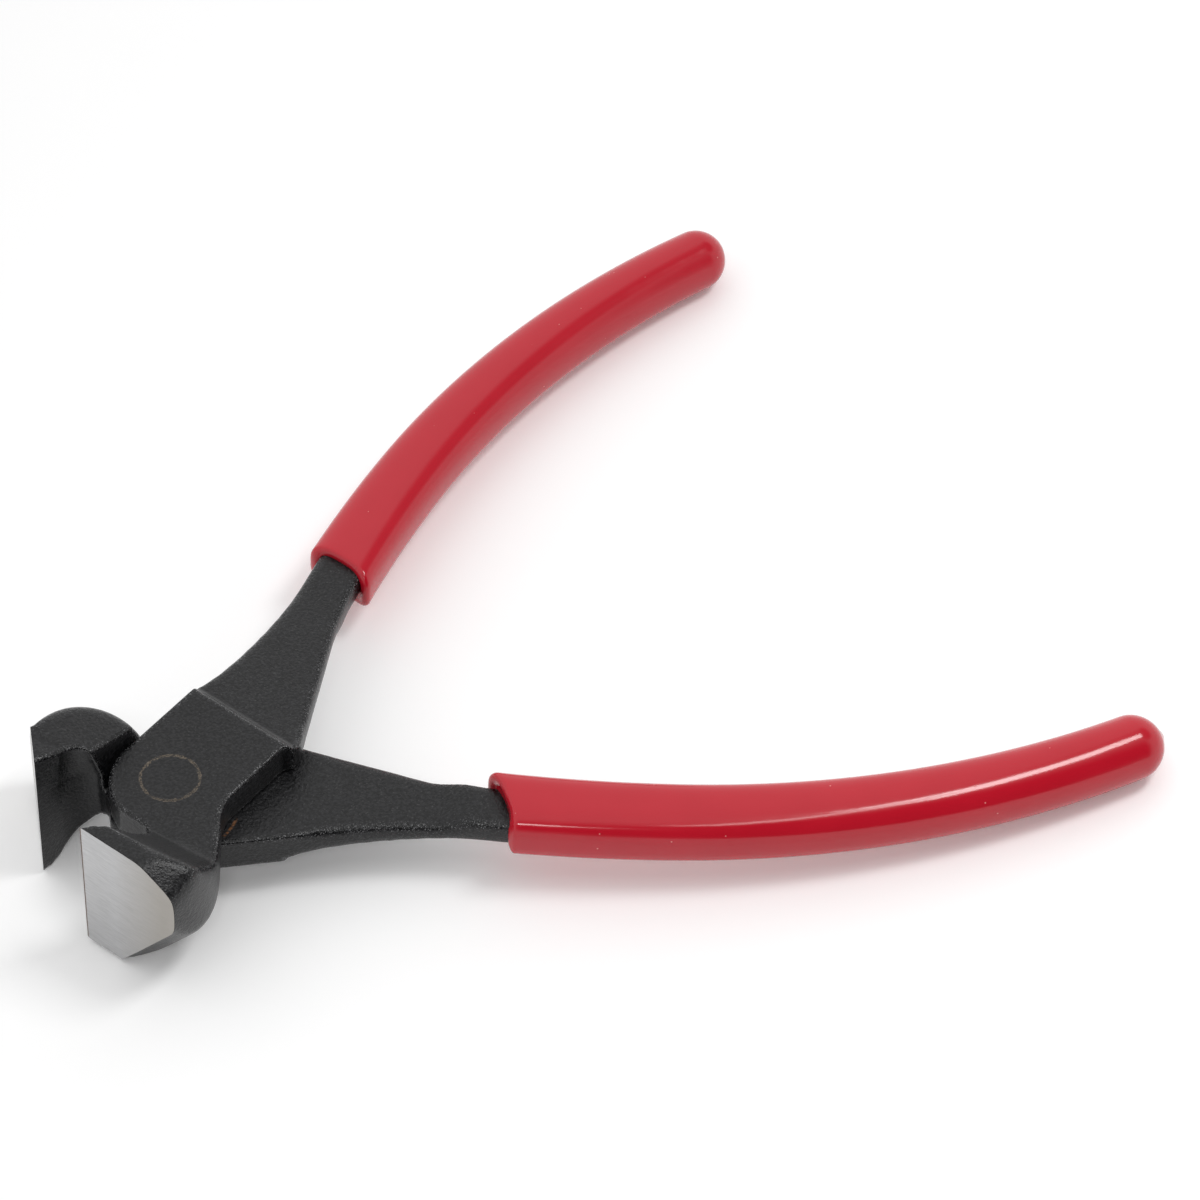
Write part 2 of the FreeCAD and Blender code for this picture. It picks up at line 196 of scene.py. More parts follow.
# %% Floor finish
pale = Finish("pale_floor", Roughness=0.6, Specular_IOR_Level=0.2,
              Emission_Color=(1.0, 1.0, 1.0, 1.0), Emission_Strength=0.11)
floor_tone = pale.mix(pale.noise(90.0), (0.90, 0.90, 0.90, 1), (0.92, 0.92, 0.92, 1))
floor.data.materials.append(pale.shade(Base_Color=floor_tone))

# %% [markdown]
# ## Black oxide
# A forging is blasted and then blackened, so it is a matte charcoal with a fine grain
# like orange peel. Corners are rubbed by handling, so they are smoother and glossier, and
# they carry small bright points that are painted glints. Hollows get painted shade and the
# step's ramp gets a painted highlight. The corner finish follows `corner`, a number stored
# on each vertex that is 1 on an outside edge and 0 on a flat.

# %% Distance from the pivot
def about_pivot(finish):
    """A point's height, its place in plan and its distance from the pivot axis, Z."""
    split = finish.node("ShaderNodeSeparateXYZ", Vector=finish.place)
    plan = finish.node("ShaderNodeCombineXYZ", X=split.outputs["X"], Y=split.outputs["Y"])
    radius = finish.node("ShaderNodeVectorMath", {"operation": "LENGTH"},
                         Vector=plan.outputs[0]).outputs["Value"]
    return split.outputs["Z"], plan.outputs[0], radius

# %% A ragged ring of rust round the rivet
RING_INSIDE, RING_OUTSIDE = 4.60 * MM, 5.08 * MM
INNER_FADE, OUTER_FADE = 0.20 * MM, 0.15 * MM
INNER_WANDER, OUTER_WANDER = 1.5 * MM, -0.6 * MM

def rust_ring(finish):
    """1 on an uneven ring about the pivot axis."""
    radius = about_pivot(finish)[2]
    wander = finish.math("SUBTRACT", finish.noise(1.3, detail=5.0, roughness=0.65), 0.5)
    inner = finish.math("MULTIPLY_ADD", wander, INNER_WANDER, radius)
    outer = finish.math("MULTIPLY_ADD", wander, OUTER_WANDER, radius)
    ring = finish.math("MULTIPLY", finish.steps(inner, RING_INSIDE, RING_INSIDE + INNER_FADE),
                       finish.steps(outer, RING_OUTSIDE + OUTER_FADE, RING_OUTSIDE))
    return finish.math("MULTIPLY", ring, finish.steps(finish.noise(0.30, detail=3.0), 0.38, 0.62))

# %% A patch of rust where the upper plate's wall has rubbed the lower half
PATCH_RADIUS = 11.4 * MM
PATCH_CENTRE = (5.65 * MM, -9.9 * MM, 0.0)
PATCH_HALF_WIDTH, PATCH_CORE = 0.34 * MM, 0.12 * MM
PATCH_REACH, PATCH_FULL = 2.9 * MM, 1.9 * MM
PATCH_CEILING = 6.48 * MM

def rust_patch(finish):
    """1 on a short arc beside the wall, on the lap face of the lower half."""
    level, plan, radius = about_pivot(finish)
    off = finish.math("ABSOLUTE", finish.math("SUBTRACT", radius, PATCH_RADIUS))
    away = finish.node("ShaderNodeVectorMath", {"operation": "DISTANCE"}, Vector=plan)
    finish.join(PATCH_CENTRE, away.inputs[1])
    patch = finish.math("MULTIPLY", finish.steps(off, PATCH_HALF_WIDTH, PATCH_CORE),
                        finish.steps(away.outputs["Value"], PATCH_REACH, PATCH_FULL))
    patch = finish.math("MULTIPLY", patch,
                        finish.steps(finish.noise(0.5, detail=4.0), 0.40, 0.56))
    return finish.math("MULTIPLY", patch, finish.math("LESS_THAN", level, PATCH_CEILING))

# %% Black oxide finish
def black_oxide(name):
    """Grain first, then painted shade in the hollows, the step's painted highlight, painted
    glints on the corners, dust and rust.
    """
    oxide = Finish(name, Specular_IOR_Level=0.37)
    corner = oxide.attribute("corner")
    hollow_shade = oxide.attribute("hollow")
    step_highlight = oxide.attribute("step_highlight")
    grain = oxide.noise(0.52, detail=2.5, roughness=0.6)
    cloud = oxide.noise(7.0, detail=4.0, roughness=0.6)
    speck = oxide.steps(oxide.noise(0.24, detail=1.0), 0.60, 0.70)
    dust = oxide.steps(oxide.noise(0.33, detail=0.0), 0.72, 0.78)
    pit = oxide.mix(cloud, (0.0015, 0.0015, 0.002, 1), (0.0035, 0.0035, 0.004, 1))
    peak = oxide.mix(cloud, (0.012, 0.012, 0.013, 1), (0.019, 0.019, 0.0205, 1))
    tone = oxide.mix(oxide.steps(grain, 0.40, 0.64), pit, peak)
    # painted shade: the hollows are darkened where shade falls
    tone = oxide.mix(hollow_shade, tone, (0.003, 0.003, 0.0035, 1))
    # painted highlight: the step's ramp is painted pale where it faces the light
    tone = oxide.mix(oxide.math("MULTIPLY", step_highlight, cloud), tone, (0.085, 0.085, 0.087, 1))
    # painted glints: bright points on the corners stand in for glints of light
    corner_glint = oxide.math("MULTIPLY", corner, speck)
    tone = oxide.mix(corner_glint, tone, (0.17, 0.17, 0.175, 1))
    tone = oxide.mix(oxide.math("MULTIPLY", dust, 0.16), tone, (0.16, 0.16, 0.16, 1))
    tone = oxide.mix(rust_ring(oxide), tone, (0.14, 0.11, 0.08, 1))
    tone = oxide.mix(rust_patch(oxide), tone, (0.17, 0.075, 0.03, 1))
    rough = oxide.math("MULTIPLY_ADD", corner, -0.06, 0.25)
    rough = oxide.math("MULTIPLY_ADD", grain, 0.12, rough)
    normal = oxide.bump(grain, 0.12, 1.0)
    normal = oxide.bump(oxide.noise(1.6, detail=2.0), 0.12, 0.6, normal)
    return oxide.shade(Base_Color=tone, Roughness=rough, Normal=normal)

forged = black_oxide("black_oxide")
print("made", forged.name)

# %% [markdown]
# ## Ground steel
# The nose of each jaw is ground flat across the cutting edge after blackening. The wheel
# leaves fine lines that run away from the edge, so the noise is stretched along them. A
# thin brown line of oxide stays on the very edge.

# %% Ground steel finish
def ground_steel(name, degrees):
    """degrees turns the part's coordinates into the half's own, edge along Z."""
    steel = Finish(name, Metallic=1.0, Specular_IOR_Level=0.5)
    own = steel.node("ShaderNodeMapping", Vector=steel.place,
                     Rotation=(0.0, 0.0, math.radians(degrees))).outputs[0]
    lines = steel.noise(0.16, detail=3.0, vector=steel.scaled(own, (1.0, 0.07, 1.0)))
    coarse = steel.noise(0.9, detail=3.0, vector=steel.scaled(own, (1.0, 0.15, 1.0)))
    split = steel.node("ShaderNodeSeparateXYZ", Vector=own)
    deep = steel.steps(steel.math("ABSOLUTE", split.outputs["Y"]), 7.0 * MM, 17.0 * MM)
    tone = steel.mix(lines, (0.36, 0.36, 0.365, 1), (0.64, 0.64, 0.645, 1))
    tone = steel.mix(steel.math("MULTIPLY", deep, 0.85), tone, (0.36, 0.335, 0.30, 1))
    edge = steel.steps(steel.math("ABSOLUTE", split.outputs["Y"]), 0.38 * MM, 0.18 * MM)
    tone = steel.mix(edge, tone, (0.10, 0.055, 0.035, 1))
    rough = steel.math("MULTIPLY_ADD", coarse, 0.14, 0.30)
    normal = steel.bump(lines, 0.02, 0.8)
    return steel.shade(Base_Color=tone, Roughness=rough, Normal=normal)

# %% [markdown]
# ## Forgings
# The solid model has sharp corners. A real forging has none except where it is ground,
# so each half is made again in the order the shop makes it. First a blank: the solid
# with its nose grown past the grinding plane and its rivet hole filled, remeshed in
# small even cells and smoothed until its corners are round. Then the nose is cut off
# flat, and last the hole is bored. Grinding and boring leave crisp edges, as they should.

# %% Place of the two halves
HALF_OPEN = 21.65
LAP = 6.45 * MM
NOSE = 22.0 * MM
HALF_EDGE = 14.4 * MM
lift = Matrix.Translation((0.0, 0.0, LAP))
own_frame = {
    "upper": lift @ Matrix.Rotation(math.radians(HALF_OPEN), 4, "Z"),
    "lower": (lift @ Matrix.Rotation(math.radians(-HALF_OPEN), 4, "Z")
              @ Matrix.Rotation(math.pi, 4, "X")),
}
print("each half is turned %.2f degrees from the middle line" % HALF_OPEN)

# %% Turned shapes for the bore and its plug
def turned_solid(name, profile, sides=96):
    """A closed solid of revolution about Z from (radius, height) pairs on the axis."""
    shape = bmesh.new()
    rings = []
    for radius, height in profile:
        if radius == 0.0:
            rings.append([shape.verts.new((0.0, 0.0, height))])
            continue
        angles = [2 * math.pi * i / sides for i in range(sides)]
        rings.append([shape.verts.new((radius * math.cos(a), radius * math.sin(a), height))
                      for a in angles])
    for low, high in zip(rings, rings[1:]):
        for i in range(sides):
            quad = [low[i % len(low)], low[(i + 1) % len(low)],
                    high[(i + 1) % len(high)], high[i % len(high)]]
            shape.faces.new(list(dict.fromkeys(quad)))
    bmesh.ops.recalc_face_normals(shape, faces=shape.faces)
    mesh = bpy.data.meshes.new(name)
    shape.to_mesh(mesh)
    shape.free()
    made = bpy.data.objects.new(name, mesh)
    bpy.context.scene.collection.objects.link(made)
    return made

# %% The bore
# in a half's own frame the lap face is at zero and the plate's outer face at PLATE_TOP
PLATE_TOP = 6.45 * MM
HEAD, SHANK, SINK = 4.95 * MM, 4.0 * MM, 1.2 * MM
OVERRUN = 1.0 * MM

def bore(play):
    """The countersunk hole as a solid that sticks out of both faces."""
    mouth, hole = HEAD + play, SHANK + play
    return turned_solid("bore", [(0.0, -OVERRUN), (hole, -OVERRUN),
                                 (hole, PLATE_TOP - SINK), (mouth, PLATE_TOP),
                                 (mouth, PLATE_TOP + OVERRUN), (0.0, PLATE_TOP + OVERRUN)])

# %% Apply modifiers
def evaluated(piece):
    """The piece's mesh with its modifiers applied, as plain mesh data."""
    graph = bpy.context.evaluated_depsgraph_get()
    mesh = bpy.data.meshes.new_from_object(piece.evaluated_get(graph))
    piece.modifiers.clear()
    old, piece.data = piece.data, mesh
    bpy.data.meshes.remove(old)
    return piece

# %% The rough blank
WELD = 0.002 * MM
NOSE_BAND = 0.02 * MM
NOSE_GROWTH = 2.0 * MM
EDGE_BAND = 0.5 * MM
EDGE_RAKE, RAKE_LOSS = 0.9, 0.4
FULL_RAKE = 3.2 * MM
PLUG_RADIUS = 5.4 * MM
PLUG_FOOT, PLUG_HEAD = 0.06 * MM, 0.01 * MM

def rough_blank(node, side):
    """The node's solid in the half's own frame, nose grown and hole filled."""
    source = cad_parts[node].data.copy()
    source.transform(own_frame[side].inverted())
    shape = bmesh.new()
    shape.from_mesh(source)
    bpy.data.meshes.remove(source)
    bmesh.ops.remove_doubles(shape, verts=shape.verts, dist=WELD)
    for vert in shape.verts:
        if vert.co.x < -NOSE + NOSE_BAND:
            # the edge side grows along the scoop's slope, which eases off down the jaw
            far = max(0.0, -vert.co.z - FULL_RAKE) / (HALF_EDGE - FULL_RAKE)
            rake = EDGE_RAKE - RAKE_LOSS * far if vert.co.y > -EDGE_BAND else 0.0
            vert.co += Vector((-1.0, rake, 0.0)) * NOSE_GROWTH
    top = PLATE_TOP - PLUG_HEAD
    plug = turned_solid("plug", [(0.0, PLUG_FOOT), (PLUG_RADIUS, PLUG_FOOT),
                                 (PLUG_RADIUS, top), (0.0, top)])
    shape.from_mesh(plug.data)
    bpy.data.objects.remove(plug)
    mesh = bpy.data.meshes.new(node + "_blank")
    shape.to_mesh(mesh)
    shape.free()
    blank = bpy.data.objects.new(node + "_blank", mesh)
    bpy.context.scene.collection.objects.link(blank)
    return blank

# %% The blend between the jaw's shoulder and the wall
BLEND_FROM = Vector((-15.0, -17.6, 8.0)) * MM
BLEND_TO = Vector((-23.0, -20.1, 11.9)) * MM
BLEND_REACH, BLEND_FADE = 4.2 * MM, 2.2 * MM
BLEND_BACK = -10.0 * MM

def near_blend(spot):
    """How much a point takes part in the blend, a tube that weakens along its length."""
    way = BLEND_TO - BLEND_FROM
    share = min(1.0, max(0.0, (spot - BLEND_FROM).dot(way) / way.length_squared))
    gap = (spot - BLEND_FROM - way * share).length
    return min(1.0, max(0.0, (BLEND_REACH - gap) / BLEND_FADE)) * (1.0 - 0.5 * share)

# %% From the blank to rounded corners
# corners are soft on the shank and down the jaw's outside, and tight on the plates
CELL = 0.30 * MM
PLATE_ROUNDING, SOFT_ROUNDING, BLEND_ROUNDING = 7, 130, 200
SHANK_START, SHANK_FULL = 19.0 * MM, 24.0 * MM
JAW_START, JAW_FADE = -9.0 * MM, 3.0 * MM

def rounded(blank):
    """Even cells all over, then smoothing, which rounds corners and leaves flats."""
    cells = blank.modifiers.new("cells", "REMESH")
    cells.mode = "VOXEL"
    cells.voxel_size = CELL
    evaluated(blank)
    soft = blank.vertex_groups.new(name="soft")
    blend = blank.vertex_groups.new(name="blend")
    for vert in blank.data.vertices:
        share = (vert.co.x - SHANK_START) / (SHANK_FULL - SHANK_START)
        outside = (JAW_START - vert.co.y) / JAW_FADE if vert.co.x < 0.0 else 0.0
        share = max(share, outside)
        if share > 0.0:
            soft.add([vert.index], min(1.0, share), "REPLACE")
        if vert.co.x < BLEND_BACK and near_blend(vert.co) > 0.0:
            blend.add([vert.index], near_blend(vert.co), "REPLACE")
    for iterations, group in ((PLATE_ROUNDING, ""), (SOFT_ROUNDING, "soft"),
                              (BLEND_ROUNDING, "blend")):
        soften = blank.modifiers.new(group or "all", "SMOOTH")
        soften.factor = 0.5
        soften.iterations = iterations
        soften.vertex_group = group
    return evaluated(blank)

# %% [markdown]
# ## Marking corners and hollows
# The finish needs to know where the corners are and where the hollows are: it paints glints
# on the corners and shade into the hollows. On a smooth mesh that is the change of the
# normal along each edge: it opens on a corner and closes in a hollow. The values are
# averaged with their neighbours, so that single cells don't show.

# %% Curvature on the vertices
CORNER_FULL, HOLLOW_FULL = 0.32, 0.40
LEAST_MARK = 0.15
AVERAGING = 3

def mark_corners(mesh):
    """Store how much each vertex lies on a corner or in a hollow. Bends are per mm."""
    count = len(mesh.vertices)
    spots = np.empty(count * 3)
    mesh.vertices.foreach_get("co", spots)
    spots = spots.reshape(-1, 3)
    normals = np.array([normal.vector for normal in mesh.vertex_normals])
    pairs = np.empty(len(mesh.edges) * 2, int)
    mesh.edges.foreach_get("vertices", pairs)
    a, b = pairs.reshape(-1, 2).T
    way = spots[b] - spots[a]
    bend = ((normals[b] - normals[a]) * way).sum(1) / np.maximum((way * way).sum(1), 1e-12)
    degree = np.bincount(a, minlength=count) + np.bincount(b, minlength=count)
    value = (np.bincount(a, bend, count) + np.bincount(b, bend, count)) / degree
    for _ in range(AVERAGING):
        around = np.bincount(a, value[b], count) + np.bincount(b, value[a], count)
        value = 0.5 * value + 0.5 * around / degree
    per_mm = value * MM
    # corner drives the glossier finish and the painted glints, hollow drives the painted shade
    for name, sign, full in (("corner", 1.0, CORNER_FULL), ("hollow", -1.0, HOLLOW_FULL)):
        mark = np.clip(sign * per_mm / full - LEAST_MARK, 0.0, 1.0)
        mesh.attributes.new(name, "FLOAT", "POINT").data.foreach_set("value", mark)
    return per_mm

# %% The ramp of the step, painted pale as a highlight
STEP_START, STEP_END, STEP_DEPTH = 17.0 * MM, 20.5 * MM, 1.4 * MM
TILT_START, TILT_RANGE = 6.0, 18.0

def mark_step(mesh):
    """The short ramp between plate and shank gets a painted highlight: mark where it tilts."""
    shade = mesh.attributes.new("step_highlight", "FLOAT", "POINT").data
    for vert, normal, mark in zip(mesh.vertices, mesh.vertex_normals, shade):
        near = STEP_START < vert.co.x < STEP_END and vert.co.z > PLATE_TOP - STEP_DEPTH
        tilt = math.degrees(math.atan2(normal.vector.x, normal.vector.z)) if near else 0.0
        mark.value = min(1.0, max(0.0, (tilt - TILT_START) / TILT_RANGE))

# %% Grind the nose
EDGE_SIDE = -0.05 * MM
BLADE_BACK = -15.0 * MM
INSIDE_BOX = 0.002 * MM

def grind(piece):
    """Cut the nose off flat at the edge plane. The new flat gets the second finish.

    The blade is first held behind the line where the two edges meet.
    """
    shape = bmesh.new()
    shape.from_mesh(piece.data)
    for vert in shape.verts:
        vert.co.z = max(vert.co.z, -HALF_EDGE + INSIDE_BOX)
        if vert.co.x < BLADE_BACK:
            vert.co.y = min(vert.co.y, EDGE_SIDE)
    everything = list(shape.verts) + list(shape.edges) + list(shape.faces)
    cut = bmesh.ops.bisect_plane(shape, geom=everything, dist=1e-7,
                                 plane_co=(-NOSE, 0, 0), plane_no=(-1, 0, 0), clear_outer=True)
    rim = [item for item in cut["geom_cut"] if isinstance(item, bmesh.types.BMEdge)]
    flat = bmesh.ops.triangle_fill(shape, edges=rim, use_beauty=True,
                                   normal=(-1, 0, 0))["geom"]
    for item in flat:
        if isinstance(item, bmesh.types.BMFace):
            item.material_index = 1
            item.smooth = False
            if item.normal.x > 0:
                item.normal_flip()
    shape.to_mesh(piece.data)
    shape.free()

# %% Bore the hole
def bored(piece, play):
    cutter = bore(play)
    cut = piece.modifiers.new("bore", "BOOLEAN")
    cut.operation = "DIFFERENCE"
    cut.solver = "EXACT"
    cut.object = cutter
    evaluated(piece)
    bpy.data.objects.remove(cutter)
    return piece

# %% Make both forgings
# the upper half turns on the rivet, the lower half grips it
TURNING_PLAY = 0.04 * MM

def make_forging(node, side, play):
    piece = rounded(rough_blank(node, side))
    piece.data.materials.append(forged)
    turn = -HALF_OPEN if side == "upper" else HALF_OPEN
    piece.data.materials.append(ground_steel(side + "_ground_steel", turn))
    for face in piece.data.polygons:
        face.use_smooth = True
    bend = mark_corners(piece.data)
    mark_step(piece.data)
    grind(piece)
    bored(piece, play)
    piece.data.transform(own_frame[side])
    piece.name = node + "_rounded"
    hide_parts(node)
    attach(piece, side)
    print("%s: %d faces, sharpest corner %.1f per mm"
          % (piece.name, len(piece.data.polygons), bend.max()))

make_forging("upper_forging", "upper", TURNING_PLAY)
make_forging("lower_forging", "lower", 0.0)

# %% [markdown]
# ## Rivet
# The rivet is ground flush and blackened with the joint, so only a thin ring of rust
# shows where it meets the plate. It is the same ring as on the plate, so both finishes
# call one function and the rust runs across the joint between them.

# %% Rivet finish
def rivet_finish():
    rivet = Finish("rivet_face", Specular_IOR_Level=0.37)
    ring = rust_ring(rivet)
    grain = rivet.noise(0.52, detail=2.5, roughness=0.6)
    tone = rivet.mix(rivet.noise(4.0, detail=3.0), (0.012, 0.012, 0.013, 1),
                     (0.019, 0.019, 0.0205, 1))
    tone = rivet.mix(rivet.steps(grain, 0.64, 0.40), tone, (0.003, 0.003, 0.0035, 1))
    rust = rivet.mix(rivet.noise(0.5, detail=3.0), (0.070, 0.052, 0.036, 1),
                     (0.20, 0.16, 0.115, 1))
    tone = rivet.mix(ring, tone, rust)
    rough = rivet.math("MULTIPLY_ADD", ring, 0.25, 0.30)
    normal = rivet.bump(grain, 0.12, 1.0)
    return rivet.shade(Base_Color=tone, Roughness=rough, Normal=normal)

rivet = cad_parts["pivot_rivet"]
rivet.data.materials.clear()
rivet.data.materials.append(rivet_finish())
rivet_low, rivet_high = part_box("pivot_rivet")
print("rivet is %.1f mm across" % ((rivet_high.x - rivet_low.x) / MM))

# %% [markdown]
# ## Vinyl
# The grips are dipped in liquid vinyl, which flows smooth and sets glossy. Its red is
# even, the surface swells a little where the coat is thicker, and a few specks of dust
# lie on it.

# %% Vinyl finish
def dipped_vinyl():
    vinyl = Finish("dipped_vinyl", Specular_IOR_Level=0.5)
    depth = vinyl.noise(9.0, detail=2.0)
    tone = vinyl.mix(depth, (0.45, 0.0050, 0.017, 1), (0.50, 0.0080, 0.022, 1))
    cells = vinyl.node("ShaderNodeTexVoronoi", Vector=vinyl.place, Scale=1.0 / (2.6 * MM))
    close = vinyl.steps(cells.outputs["Distance"], 0.065, 0.040)
    few = vinyl.node("ShaderNodeSeparateColor", Color=cells.outputs["Color"])
    chosen = vinyl.math("GREATER_THAN", few.outputs[0], 0.62)
    speck = vinyl.math("MULTIPLY", close, chosen)
    tone = vinyl.mix(vinyl.math("MULTIPLY", speck, 0.55), tone, (0.80, 0.35, 0.32, 1))
    rough = vinyl.math("MULTIPLY_ADD", vinyl.noise(2.5, detail=3.0), 0.07, 0.10)
    rough = vinyl.math("MULTIPLY_ADD", speck, 0.3, rough)
    normal = vinyl.bump(vinyl.noise(6.0, detail=1.0), 0.10, 0.35)
    normal = vinyl.bump(speck, 0.02, 0.8, normal)
    return vinyl.shade(Base_Color=tone, Roughness=rough, Normal=normal)

vinyl = dipped_vinyl()
print("made", vinyl.name)

# %% [markdown]
# ## Grips
# A dipped grip follows a rule: a section that starts as a rounded rectangle at the collar
# and ends as a circle, carried along the bend of the handle, with a rolled lip at one end
# and a dome at the other. That is work for Geometry Nodes. A flat grid is bent into the
# grip: one direction of the grid runs along the handle, the other goes round it.

# %% The middle line of a handle
# in millimetres: where the line starts, how it leans, and the radius and length of bends
LINE_START = Vector((51.3, 8.9, 0.0))
LINE_LEAN = 15.9
BENDS = ((273.0, 33.5), (177.0, 90.0))
BEND_STEPS = 40

def middle_line(name, side):
    """Two tangent bends in the lap plane, as a curve in the part's frame."""
    lean = math.radians(LINE_LEAN)
    at = LINE_START.copy()
    points = [at.copy()]
    for radius, length in BENDS:
        for _ in range(BEND_STEPS):
            turned = lean - length / BEND_STEPS / radius
            middle = (lean + turned) / 2
            at = at + Vector((math.cos(middle), math.sin(middle), 0.0)) * (length / BEND_STEPS)
            lean = turned
            points.append(at.copy())
    curve = bpy.data.curves.new(name, "CURVE")
    curve.dimensions = "3D"
    spline = curve.splines.new("POLY")
    spline.points.add(len(points) - 1)
    for target, point in zip(spline.points, points):
        target.co = (*(own_frame[side] @ (point * MM)), 1.0)
    line = bpy.data.objects.new(name, curve)
    bpy.context.scene.collection.objects.link(line)
    return line

# %% Helper for a Geometry Nodes tree
class Shaper(Nodes):
    """A Geometry Nodes tree with named inputs, and vectors as well as numbers."""

    def __init__(self, name, inputs):
        super().__init__(bpy.data.node_groups.new(name, "GeometryNodeTree"))
        face = self.tree.interface
        face.new_socket("Geometry", in_out="INPUT", socket_type="NodeSocketGeometry")
        for label, kind, value in inputs:
            socket = face.new_socket(label, in_out="INPUT", socket_type=kind)
            if value is not None:
                socket.default_value = value
        face.new_socket("Geometry", in_out="OUTPUT", socket_type="NodeSocketGeometry")
        self.into = self.node("NodeGroupInput").outputs
        self.out = self.node("NodeGroupOutput").inputs[0]

    def vector(self, operation, *values):
        made = self.node("ShaderNodeVectorMath", {"operation": operation})
        # a scale's factor is the node's fourth input
        places = (0, 3) if operation == "SCALE" else (0, 1, 2)
        for value, index in zip(values, places):
            self.join(value, made.inputs[index])
        return made.outputs[0]

    def between(self, share, start, end):
        return self.math("MULTIPLY_ADD", share, self.math("SUBTRACT", end, start), start)

# %% The grip's tree
FLOAT = "NodeSocketFloat"
grip_tree = Shaper("dipped_grip", [
    ("Start", FLOAT, 0.0), ("Length", FLOAT, 0.11),
    ("Collar Width", FLOAT, 0.013), ("Collar Height", FLOAT, 0.0096),
    ("Tip Diameter", FLOAT, 0.01129), ("Lip", FLOAT, 0.001),
    ("Skew", FLOAT, 0.285), ("Mouth Dip", FLOAT, 0.0012), ("Drip", FLOAT, 0.0),
    ("Finish", "NodeSocketMaterial", None),
])

# %% Build the grip's tree
RINGS, AROUND = 190, 72
LIP_RINGS = 12.0
COLLAR_POWER, ROUND_POWER = 3.3, 2.0
HEIGHT_EASE = 0.7
COLLAR_REACH = 0.012
DROP_RADIUS = 1.5 * MM
WELD_GRIP = 0.0005 * MM

